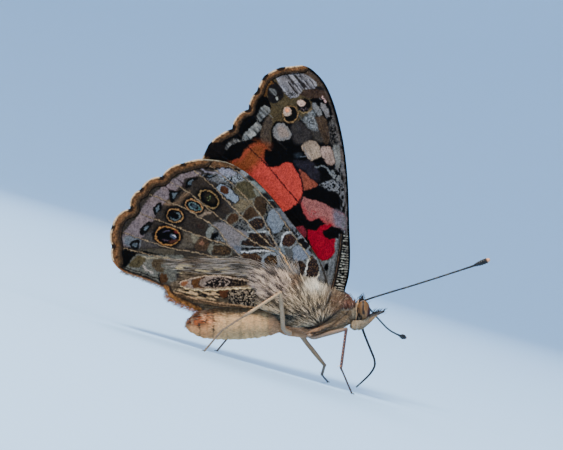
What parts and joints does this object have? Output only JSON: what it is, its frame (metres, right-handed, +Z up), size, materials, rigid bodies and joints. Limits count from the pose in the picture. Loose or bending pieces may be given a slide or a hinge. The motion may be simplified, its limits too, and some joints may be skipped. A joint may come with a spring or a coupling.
{
  "type": "painted lady butterfly",
  "caption": "Life-size still model of a butterfly standing with its scalloped, eye-spotted wings closed over its back, feelers spread and tongue let down.",
  "frame": {"origin": "on the floor, under the centre of the box around the whole insect", "axes": "+X forward along the body, towards the head; +Y to the insect's left; +Z up from the floor"},
  "size_m": [0.0518, 0.0222, 0.0421],
  "materials": {
    "wing_scales": "dull, dusted with fine overlapping scales",
    "body_fur": "soft matte fur",
    "eye": "smooth, softly glossy",
    "dark_chitin": "satin",
    "leg_chitin": "satin, lightly bristled"
  },
  "bodies": {
    "root": {"thorax": "body_fur", "abdomen": "body_fur", "head": "body_fur", "proboscis": "dark_chitin", "eye_right": "eye", "eye_left": "eye", "palp_right": "body_fur", "palp_left": "body_fur", "antenna_right": "dark_chitin", "antenna_left": "dark_chitin", "foreleg_right": "body_fur", "foreleg_left": "body_fur", "forewing_right": "wing_scales", "forewing_left": "wing_scales", "hindwing_right": "wing_scales", "hindwing_left": "wing_scales", "midleg_right_femur": "leg_chitin", "midleg_right_tibia": "leg_chitin", "midleg_right_tarsus": "leg_chitin", "midleg_left_femur": "leg_chitin", "midleg_left_tibia": "leg_chitin", "midleg_left_tarsus": "leg_chitin", "hindleg_right_femur": "leg_chitin", "hindleg_right_tibia": "leg_chitin", "hindleg_right_tarsus": "leg_chitin", "hindleg_left_femur": "leg_chitin", "hindleg_left_tibia": "leg_chitin", "hindleg_left_tarsus": "leg_chitin"}
  },
  "joints": []
}
